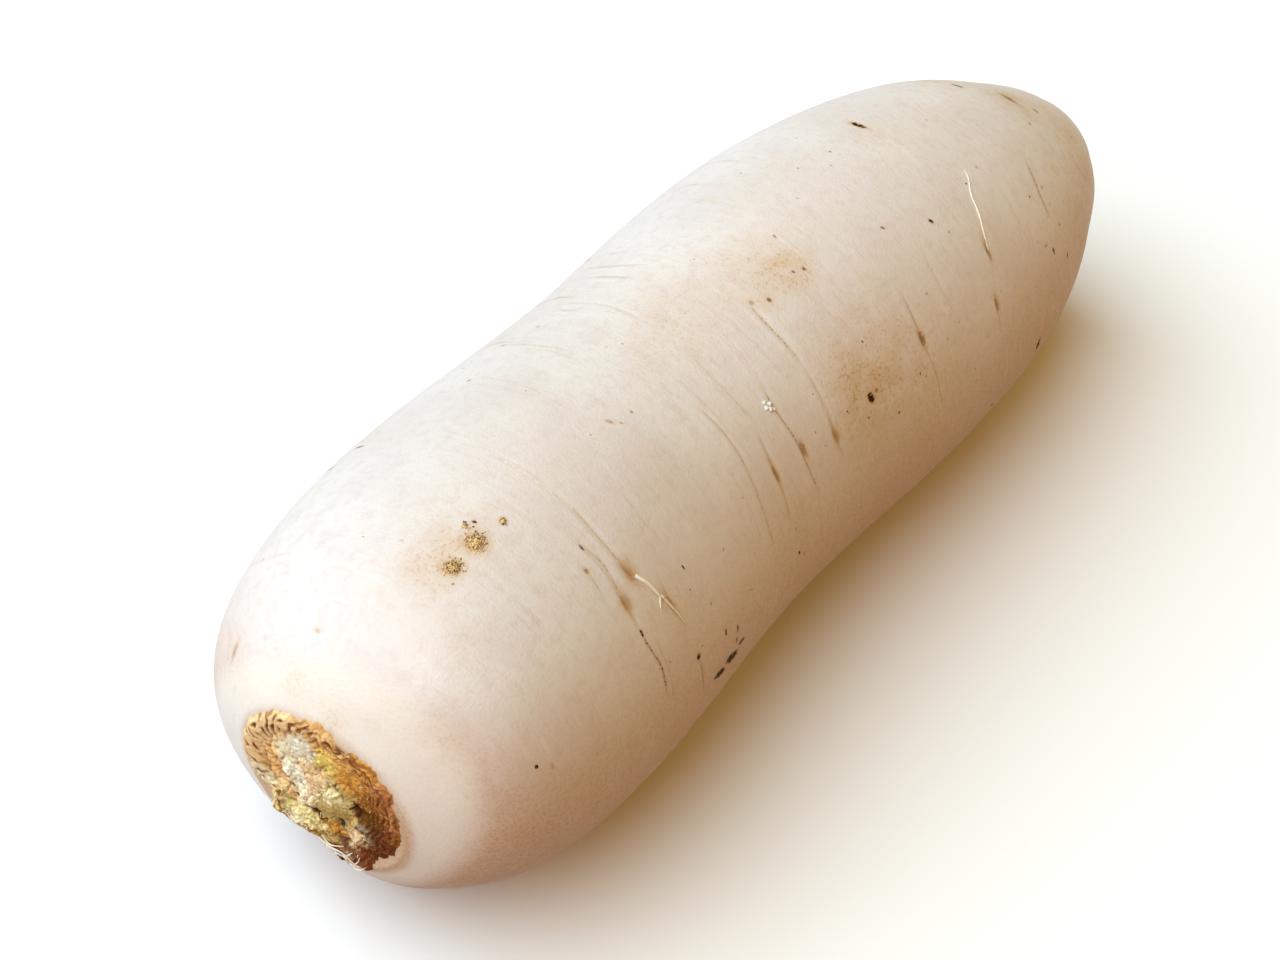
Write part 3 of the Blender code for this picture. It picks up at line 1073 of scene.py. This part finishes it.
def tube_mesh(name, paths, sides=10):
    """Closed round strands, each along a smooth path of (point, radius) rows, tapering as the radii say."""
    verts, faces = [], []
    for path in paths:
        share = np.linspace(0.0, 1.0, len(path))
        fine = np.linspace(0.0, 1.0, 6 * len(path))
        columns = np.array([[*point, radius] for point, radius in path])
        smoothed = np.stack([spline(list(zip(share, column)), fine) for column in columns.T], -1)
        points, radii = smoothed[:, :3], np.maximum(smoothed[:, 3], 0.02 * MM)
        tangent = unit(np.gradient(points, axis=0))
        side = unit(np.cross(tangent, (0.31, -0.22, 0.93)))
        rise = np.cross(tangent, side)
        first = len(verts)
        for point, radius, a, b in zip(points, radii, side, rise):
            for k in range(sides):
                turn = 2 * math.pi * k / sides
                verts.append(point + radius * (math.cos(turn) * a + math.sin(turn) * b))
        rings = len(points)
        for ring in range(rings - 1):
            for k in range(sides):
                here, beside = first + ring * sides + k, first + ring * sides + (k + 1) % sides
                faces.append((here, beside, beside + sides, here + sides))
        faces.append(tuple(first + k for k in reversed(range(sides))))
        faces.append(tuple(first + (rings - 1) * sides + k for k in range(sides)))
    mesh = bpy.data.meshes.new(name)
    mesh.from_pydata(verts, [], faces)
    mesh.shade_smooth()
    return mesh


def granule_mesh(name, grains, seed):
    """Small, knobbly, closed grains joined in one mesh. Each row is (centre, size, shade)."""
    bm = bmesh.new()
    shades = []
    for number, (centre, size, shade) in enumerate(grains):
        made = bmesh.ops.create_icosphere(bm, subdivisions=2, radius=1.0)["verts"]
        for vert in made:
            knob = noise.noise(vert.co * 1.3 + Vector((number * 3.1, seed, 0.0)))
            vert.co = Vector(centre) + vert.co * (1 + 0.6 * knob) * size
            shades.append(shade)
    mesh = bpy.data.meshes.new(name)
    bm.to_mesh(mesh)
    bm.free()
    mesh.shade_smooth()
    set_points(mesh, "shade", "FLOAT", np.array(shades))
    return mesh


GRAINS_PER_MM2 = 11


def corky_scab(name, skin, random, along, around, length, width, dark_side):
    """A rough patch of corky grains in a shallow pit. Its dark side lies dark_side degrees around it."""
    grains = []
    for _ in range(int(GRAINS_PER_MM2 * length * width)):
        turn, reach = random.uniform(0, 2 * math.pi), abs(random.normal(0, 0.62))
        place = (
            along + math.cos(turn) * reach * width / 2,
            around + math.sin(turn) * reach * length / 2 / MM_PER_DEGREE,
        )
        lift = (0.10 * max(1 - reach**2, -0.3) + random.uniform(-0.10, 0.06)) * MM
        size = random.uniform(0.10, 0.30) * MM / (1 + 0.5 * reach)
        towards = math.cos(turn - math.radians(dark_side)) * min(reach, 1.0)
        shade = np.clip(0.78 - 0.40 * towards + random.normal(0, 0.20), 0, 1)
        grains.append((skin.at(*place, lift), size, shade))
    return add_piece(name, granule_mesh(name, grains, len(name)), cork_material())


def add_scabs(skin, random):
    corky_scab("corky_scab_1", skin, random, 36.2, 13.2, 4.8, 5.0, dark_side=-10)
    corky_scab("corky_scab_2", skin, random, 29.6, 12.6, 3.8, 4.2, dark_side=40)
    corky_scab("corky_scab_3", skin, random, 42.8, 15.0, 1.9, 1.7, dark_side=60)
    corky_scab("corky_scab_4", skin, random, 37.8, 8.4, 2.2, 1.6, dark_side=0)


def add_crumbs(skin, random):
    """White crumbs of dried sap beside the waist's crease."""
    grains = []
    for along, around in [(106.4, 41.0), (107.2, 42.2), (105.9, 42.5), (106.6, 43.6), (107.4, 44.2)]:
        size = random.uniform(0.34, 0.50) * MM
        grains.append((skin.at(along, around, 0.3 * size), size, 1.0))
    return add_piece("white_crumbs", granule_mesh("white_crumbs", grains, 5), crumb_material())


# How much thinner a strand is at its end, as a share.
STRAND_TAPER = 0.6


def strand(surface, places, radius):
    """A path for tube_mesh that lies on a surface, tapering to its end."""
    count = len(places) - 1
    return [
        (surface.at(a, b, lift * MM), radius * (1 - STRAND_TAPER * (i / count) ** 2) * MM)
        for i, (a, b, lift) in enumerate(places)
    ]


# Dry side roots that lie on the skin: (along, around, lift in mm) along each strand, and its radius in mm.
FORKED_ROOTLET = [
    (
        [(54.8, 48.6, -0.1), (55.4, 51, 0.25), (56.1, 53.6, 0.34), (56.5, 56, 0.32), (56.9, 57.8, 0.18)],
        0.38,
    ),
    ([(56.8, 57.0, 0.20), (56.1, 58.2, 0.26), (55.3, 60.4, 0.12)], 0.22),
    ([(57.1, 57.2, 0.16), (57.9, 60.5, 0.24), (58.9, 64.5, 0.28), (59.8, 68.6, 0.10)], 0.25),
]
TAIL_ROOTLET = [
    (181.4, 51.4, -0.1),
    (182.2, 46.0, 0.10),
    (183.6, 41.5, 0.14),
    (184.8, 37.6, 0.12),
    (186.0, 33.6, 0.12),
    (188.6, 29.6, 0.08),
    (189.6, 26.6, 0.02),
]
TAIL_ROOTLET_RADIUS = 0.19


def add_rootlets(skin):
    forked = [strand(skin, places, radius) for places, radius in FORKED_ROOTLET]
    add_piece("forked_rootlet", tube_mesh("forked_rootlet", forked), rootlet_material())
    thin = [strand(skin, TAIL_ROOTLET, TAIL_ROOTLET_RADIUS)]
    add_piece("tail_rootlet", tube_mesh("tail_rootlet", thin), rootlet_material())


# Torn fibres along the scar's lower edge: (mm towards +Y, mm up, lift in mm) along each.
SCAR_FIBRES = [
    [(2.4, -14.2, 0.1), (-0.6, -15.0, 0.6), (-3.2, -14.7, 0.7), (-5.6, -16.0, 0.7), (-7.8, -17.2, 0.3)],
    [(0.8, -15.4, 0.1), (-1.6, -16.2, 0.5), (-3.6, -15.5, 0.7), (-5.2, -14.0, 0.3)],
    [(-0.8, -17.0, 0.1), (-3.0, -16.4, 0.6), (-5.2, -16.6, 0.8), (-7.2, -16.0, 0.3)],
    [(-3.4, -18.0, 0.1), (-4.5, -16.8, 0.6), (-4.2, -15.2, 0.8), (-5.6, -13.4, 0.3)],
    [(-7.0, -17.8, 0.1), (-6.2, -16.4, 0.6), (-6.9, -15.0, 0.6), (-7.4, -13.4, 0.2)],
    [(1.6, -13.0, 0.1), (0.2, -14.2, 0.5), (-1.4, -14.0, 0.6), (-3.4, -13.2, 0.3)],
    [(-4.8, -18.2, 0.1), (-5.8, -17.4, 0.5), (-7.6, -16.6, 0.6), (-8.8, -15.2, 0.2)],
]
FIBRE_RADIUS = 0.18
FINE_FIBRES = 8


def add_scar_fibres(scar, random):
    """Torn fibres along the scar's lower edge, and a few fine ones scattered over its face."""
    paths = [strand(scar, places, FIBRE_RADIUS) for places in SCAR_FIBRES]
    for _ in range(FINE_FIBRES):
        turn, reach = random.uniform(-math.pi, math.pi), random.uniform(3, 15)
        y, z = -reach * math.sin(turn), reach * math.cos(turn)
        way, bend = random.uniform(-math.pi, math.pi), random.normal(0, 0.5)
        length = random.uniform(0.7, 1.6)
        places = []
        for step in range(4):
            places.append((y, z, 0.10 + 0.22 * math.sin(step)))
            y, z = y + length / 3 * math.cos(way), z + length / 3 * math.sin(way)
            way += bend
        paths.append(strand(scar, places, random.uniform(0.06, 0.10)))
    return add_piece("scar_fibres", tube_mesh("scar_fibres", paths, sides=8), rootlet_material())


class Value:
    """A number or colour that one of a material's nodes gives. Arithmetic with it adds Math nodes."""

    def __init__(self, look, socket):
        self.look, self.socket = look, socket

    def __add__(self, other):
        return self.look.math("ADD", self, other)

    def __sub__(self, other):
        return self.look.math("SUBTRACT", self, other)

    def __rsub__(self, other):
        return self.look.math("SUBTRACT", other, self)

    def __mul__(self, other):
        return self.look.math("MULTIPLY", self, other)

    def __abs__(self):
        return self.look.math("ABSOLUTE", self)


class Look:
    """A material's nodes, with a short call for each kind that is used here."""

    def __init__(self, name, roughness, subsurface=0.0, specular=0.5):
        self.material = bpy.data.materials.new(name)
        self.material.use_nodes = True
        self.tree = self.material.node_tree
        self.shader = self.tree.nodes["Principled BSDF"]
        self.set("Roughness", roughness)
        self.set("Specular IOR Level", specular)
        self.set("Subsurface Weight", subsurface)
        self.set("Subsurface Radius", (1.0, 0.55, 0.30))
        self.set("Subsurface Scale", 3 * MM)
        self.place = self.node("ShaderNodeTexCoord", output="Object")

    def feed(self, socket, value):
        if isinstance(value, Value):
            self.tree.links.new(value.socket, socket)
        else:
            socket.default_value = value

    def set(self, name, value):
        """Gives one of the shader's inputs a plain value, or links a node's value to it."""
        self.feed(self.shader.inputs[name], value)

    def node(self, kind, inputs=(), output=0, **settings):
        """Adds a node, and gives the value of one of its outputs."""
        node = self.tree.nodes.new(kind)
        for name, value in settings.items():
            setattr(node, name, value)
        for key, value in dict(inputs).items():
            self.feed(node.inputs[key], value)
        return Value(self, node.outputs[output])

    def math(self, operation, a, b=0.0, clamp=False):
        return self.node("ShaderNodeMath", {0: a, 1: b}, operation=operation, use_clamp=clamp)

    def step(self, value, low, high):
        """0 at low, 1 at high, and an even curve between them. low may be the higher of the two."""
        inputs = {"Value": value, "From Min": low, "From Max": high}
        return self.node("ShaderNodeMapRange", inputs, "Result", interpolation_type="SMOOTHSTEP")

    def noise(self, size, detail=2.0, place=None, stretch=(1, 1, 1)):
        """Noise from 0 to 1 with features about as large as size, in the place's own units."""
        inputs = {0: place or self.place, 1: stretch}
        scaled = self.node("ShaderNodeVectorMath", inputs, operation="MULTIPLY")
        inputs = {"Vector": scaled, "Scale": 1 / size, "Detail": detail}
        return self.node("ShaderNodeTexNoise", inputs, "Fac")

    def mix(self, share, first, second):
        inputs = {0: share, 6: self.rgba(first), 7: self.rgba(second)}
        return self.node("ShaderNodeMix", inputs, 2, data_type="RGBA")

    def rgba(self, colour):
        return colour if isinstance(colour, Value) else (*colour, 1.0)

    def stored(self, name, output="Fac"):
        """A value or colour that the mesh stores."""
        return self.node("ShaderNodeAttribute", (), output, attribute_name=name)

    def split(self, vector):
        node = self.tree.nodes.new("ShaderNodeSeparateXYZ")
        self.feed(node.inputs[0], vector)
        return [Value(self, socket) for socket in node.outputs]

    def bump(self, height, depth):
        """Fine relief: height runs from 0 to 1, and depth is how deep that is, in metres."""
        inputs = {"Height": height, "Distance": depth, "Strength": 1.0}
        self.set("Normal", self.node("ShaderNodeBump", inputs, "Normal"))


# Linear colours of the skin and its marks.
SKIN_WHITE = (0.835, 0.785, 0.755)
SKIN_CREAM = (0.785, 0.71, 0.665)
SKIN_LILAC = (0.775, 0.70, 0.685)
SKIN_PINK = (0.69, 0.565, 0.48)
# Painted light on the crown's face, partly whiter skin.
CROWN_LIT_WHITE = (0.97, 0.89, 0.79)
PALE_LINE = (0.90, 0.86, 0.80)
# Warm painted shade for the side that faces down.
SHADE_TAN = (0.63, 0.285, 0.045)
STAIN_TAN = (0.66, 0.43, 0.20)
STAIN_ORANGE = (0.50, 0.26, 0.08)
MARK_OCHRE = (0.42, 0.19, 0.045)
MARK_TAN = (0.62, 0.35, 0.12)
MARK_DARK = (0.048, 0.014, 0.003)
CUT_FLESH = (0.86, 0.80, 0.66)

# Pairs of linear colours that the small pieces run between.
CORK_COLOURS = ((0.16, 0.070, 0.016), (0.86, 0.62, 0.30))
ROOTLET_COLOURS = ((1.00, 0.94, 0.78), (0.84, 0.64, 0.40))
CRUMB_COLOURS = ((0.95, 0.93, 0.89), (0.80, 0.72, 0.60))


def skin_material():
    look = Look("daikon_skin_look", roughness=0.46, subsurface=0.20)

    # Flesh under thin skin: broad clouds of cream and lilac, then mottling, painted light on the crown's
    # face, warm painted shade underneath, and fine grain.
    clouds = look.noise(34 * MM, 3)
    colour = look.mix(look.step(clouds, 0.36, 0.66), SKIN_WHITE, SKIN_CREAM)
    patches = look.step(look.noise(11 * MM, 3), 0.46, 0.66)
    colour = look.mix(patches * 0.45, colour, SKIN_LILAC)
    mottle = look.noise(2.2 * MM, 5)
    colour = look.mix(look.step(mottle, 0.46, 0.70) * 0.30, colour, SKIN_PINK)
    # Painted light on the crown where it faces out along the root, partly whiter skin.
    colour = look.mix(look.stored("lit_crown_face") * 0.9, colour, CROWN_LIT_WHITE)
    speckle = look.step(look.noise(0.6 * MM, 3), 0.40, 0.70)
    # Warm painted shade where the skin faces down, broken up by the speckle.
    shaded_underside = look.stored("underside_shade") * (speckle * 0.5 + 0.75)
    colour = look.mix(shaded_underside, colour, SHADE_TAN)
    colour = look.mix(speckle * 0.10, colour, SKIN_PINK)

    # Fine lines that run around the root.
    wrapped = look.stored("wrap", "Vector")
    lines = look.noise(0.9 * MM, 4, wrapped, stretch=(1, 0.13, 0.13))
    patchy = look.step(look.noise(14 * MM, 3), 0.42, 0.66)
    colour = look.mix(look.step(lines, 0.56, 0.70) * (patchy * 0.40), colour, SKIN_PINK)
    colour = look.mix(look.step(lines, 0.42, 0.30) * (patchy * 0.30), colour, PALE_LINE)

    # Stains, and the painted shade along the crown's rim: soft tan, rough-edged, with orange flecks where
    # they are strong.
    rough_edge = look.step(look.noise(4 * MM, 6), 0.28, 0.66)
    tinted = look.stored("stain_and_shade") * (rough_edge * 0.55 + 0.45)
    colour = look.mix(tinted * 0.80, colour, STAIN_TAN)
    flecks = look.step(look.noise(0.8 * MM, 3), 0.54, 0.66)
    colour = look.mix(tinted * flecks * 0.80, colour, STAIN_ORANGE)

    colour, cracks = add_crease_look(look, colour)
    colour, marks = add_spot_look(look, colour)
    look.set("Base Color", add_cut_look(look, colour))

    # Marks are duller than the skin, and cracks and marks sink into it.
    gloss = mottle * 0.14 + 0.38
    look.set("Roughness", look.math("ADD", gloss, (marks + tinted) * 0.25, clamp=True))
    look.set("Specular IOR Level", 0.5 - look.math("MAXIMUM", marks, cracks) * 0.48)
    fine = mottle * 0.35 + lines * 0.45 + speckle * 0.25
    look.bump(fine - cracks * 0.6 - marks * 0.5, 0.09 * MM)
    return look.material


def add_crease_look(look, colour):
    """A pale ridge and a thin brown line, broken into dashes, along each crease."""
    across, run, _ = look.split(look.node("ShaderNodeUVMap", uv_map="crease"))
    pale, brown, dashed = look.split(look.stored("crease_look", "Vector"))
    along_line = look.node("ShaderNodeCombineXYZ", {0: run})
    off = across + (look.noise(1.8, 2, along_line) - 0.5) * 0.55
    ridge = look.step(abs(off + 0.45), 0.42, 0.08)
    glint = look.step(look.noise(0.9, 2, along_line), 0.30, 0.60)
    colour = look.mix(ridge * pale * glint, colour, PALE_LINE)
    soft = look.step(abs(off), 1.1, 0.1) * (brown * 0.28)
    colour = look.mix(soft, colour, STAIN_TAN)
    dash = look.step(look.noise(0.62, 3, along_line), 0.44, 0.60)
    solid = 1.0 - dashed * (1.0 - dash)
    line = look.step(abs(off), 0.26, 0.07) * solid * brown
    colour = look.mix(line * 0.75, colour, MARK_OCHRE)
    core = line * dash * look.step(brown, 0.45, 1.0)
    return look.mix(core * 0.85, colour, MARK_DARK), line


def add_spot_look(look, colour):
    """A dark, ragged core in a soft ochre halo for each spot."""
    u, v, _ = look.split(look.node("ShaderNodeUVMap", uv_map="spot"))
    core, halo, _ = look.split(look.stored("spot_look", "Vector"))
    distance = look.math("SQRT", u * u + v * v)
    near = distance + (look.noise(0.9 * MM, 4) - 0.5)
    wide = look.step(near, 1.9, 0.2) * halo
    colour = look.mix(wide * 0.70, colour, MARK_TAN)
    inner = look.step(near, 0.95, 0.15) * look.math("MAXIMUM", halo * 0.55, core)
    colour = look.mix(inner * 0.80, colour, MARK_OCHRE)
    speckle = look.step(look.noise(0.5 * MM, 3), 0.28, 0.48)
    dark = look.step(near, 0.95, 0.55) * core * speckle
    return look.mix(dark, colour, MARK_DARK), dark


def add_cut_look(look, colour):
    """The trimmed tail: bare, fibrous flesh, browned in patches."""
    fibre = look.noise(1.6 * MM, 4, stretch=(0.2, 1, 1))
    flesh = look.mix(look.step(fibre, 0.35, 0.70), CUT_FLESH, SKIN_CREAM)
    dried = look.step(look.noise(6 * MM, 4), 0.50, 0.66) * 0.55
    flesh = look.mix(dried, flesh, STAIN_ORANGE)
    return look.mix(look.stored("cut"), colour, flesh)


def scar_material():
    look = Look("leaf_scar_look", roughness=0.8, subsurface=0.08, specular=0.06)
    mottle = look.noise(0.8 * MM, 5)
    rusty = look.step(mottle, 0.56, 0.70) * 0.25
    look.set("Base Color", look.mix(rusty, look.stored("scar_colour", "Color"), MARK_OCHRE))
    look.set("Roughness", mottle * 0.3 + 0.65)
    look.bump(mottle, 0.28 * MM)
    return look.material


def cork_material():
    look = Look("corky_scab_look", roughness=0.85, specular=0.1)
    colour = look.mix(look.step(look.stored("shade"), 0.30, 0.85), *CORK_COLOURS)
    mottle = look.noise(0.4 * MM, 3)
    look.set("Base Color", look.mix(look.step(mottle, 0.50, 0.66) * 0.5, colour, MARK_DARK))
    look.set("Roughness", mottle * 0.3 + 0.65)
    look.bump(mottle, 0.10 * MM)
    return look.material


def rootlet_material():
    look = Look("rootlet_look", roughness=0.6, subsurface=0.1, specular=0.2)
    mottle = look.noise(0.8 * MM, 3)
    look.set("Base Color", look.mix(look.step(mottle, 0.50, 0.75), *ROOTLET_COLOURS))
    look.set("Roughness", mottle * 0.3 + 0.42)
    look.bump(mottle, 0.05 * MM)
    return look.material


def crumb_material():
    look = Look("crumb_look", roughness=0.5, subsurface=0.2)
    mottle = look.noise(0.5 * MM, 3)
    look.set("Base Color", look.mix(look.step(mottle, 0.45, 0.80), *CRUMB_COLOURS))
    look.bump(mottle, 0.06 * MM)
    return look.material


FLOOR_SIZE = 8.0
FLOOR_WHITE = (0.97, 0.97, 0.97)
FLOOR_BRIGHTER = (0.99, 0.99, 0.99)

# The light: a broad, cool key from above the crown's far side, a warm fill from the near side of the
# tail, a faint warm light on the crown, and a dim room. Each row holds a sun's name, the direction that
# it shines from, its colour and how wide it is.
SUNS = [
    ("key", (-0.49, 0.41, 0.77), (0.92, 1.19, 1.36), math.radians(90)),
    ("fill", (0.56, -0.66, 0.50), (0.37, 0.26, 0.075), math.radians(170)),
    ("crown_light", (-0.93, 0.05, 0.25), (0.25, 0.10, 0.03), math.radians(90)),
]
ROOM_COLOUR = (0.08, 0.03, 0.015)
BACKDROP_COLOUR = (1.0, 1.0, 1.0)

# The camera: its lens in mm, then its place and what it looks at, from the middle of the ground
# under the root.
CAMERA_LENS = 85
CAMERA_PLACE = Vector((-0.380, -0.269, 0.467))
CAMERA_AIM = Vector((-0.0235, 0.0022, 0.0400))


def add_floor():
    mesh = bpy.data.meshes.new("floor")
    half = FLOOR_SIZE / 2
    corners = [(-half, -half, 0), (half, -half, 0), (half, half, 0), (-half, half, 0)]
    mesh.from_pydata(corners, [], [(0, 1, 2, 3)])
    floor = bpy.data.objects.new("floor", mesh)
    floor.location.z = root_low.z
    bpy.context.scene.collection.objects.link(floor)
    look = Look("floor_look", roughness=0.9)
    look.set("Base Color", look.mix(look.noise(0.5), FLOOR_WHITE, FLOOR_BRIGHTER))
    mesh.materials.append(look.material)
    # Light that the floor throws back would wash out the root's shaded side.
    floor.visible_diffuse = False


def add_sun(name, towards, colour, softness):
    """A far light in the direction towards. With a strength of pi, white turns a white sheet white."""
    light = bpy.data.lights.new(name, "SUN")
    light.energy, light.color, light.angle = math.pi, colour, softness
    sun = bpy.data.objects.new(name, light)
    sun.rotation_euler = Vector(towards).to_track_quat("Z", "Y").to_euler()
    bpy.context.scene.collection.objects.link(sun)


def add_lights():
    for sun in SUNS:
        add_sun(*sun)
    world = bpy.data.worlds.new("room")
    world.use_nodes = True
    nodes, links = world.node_tree.nodes, world.node_tree.links
    room = nodes["Background"]
    room.inputs["Color"].default_value = (*ROOM_COLOUR, 1.0)
    backdrop = nodes.new("ShaderNodeBackground")
    backdrop.inputs["Color"].default_value = (*BACKDROP_COLOUR, 1.0)
    seen = nodes.new("ShaderNodeMixShader")
    links.new(nodes.new("ShaderNodeLightPath").outputs["Is Camera Ray"], seen.inputs[0])
    links.new(room.outputs[0], seen.inputs[1])
    links.new(backdrop.outputs[0], seen.inputs[2])
    links.new(seen.outputs[0], nodes["World Output"].inputs["Surface"])
    bpy.context.scene.world = world


def add_camera():
    """A long lens that looks down on the crown's near side."""
    data = bpy.data.cameras.new("camera")
    data.lens = CAMERA_LENS
    camera = bpy.data.objects.new("camera", data)
    middle = Vector((root_middle.x, root_middle.y, root_low.z))
    camera.location = middle + CAMERA_PLACE
    camera.rotation_euler = (CAMERA_PLACE - CAMERA_AIM).to_track_quat("Z", "Y").to_euler()
    bpy.context.scene.collection.objects.link(camera)
    bpy.context.scene.camera = camera
    bpy.context.scene.view_settings.view_transform = "Standard"


SEED = 7


def main():
    random = np.random.default_rng(SEED)
    creases = [Crease(*row) for row in CREASES] + scattered_creases(random)
    spots = [Spot(*row) for row in SPOTS] + scattered_spots(random)
    skin = Skin(creases, spots, STAINS)
    skin.build()
    scar = Scar()
    scar.build()
    add_scabs(skin, random)
    add_crumbs(skin, random)
    add_rootlets(skin)
    add_scar_fibres(scar, random)
    add_floor()
    add_lights()
    add_camera()


main()
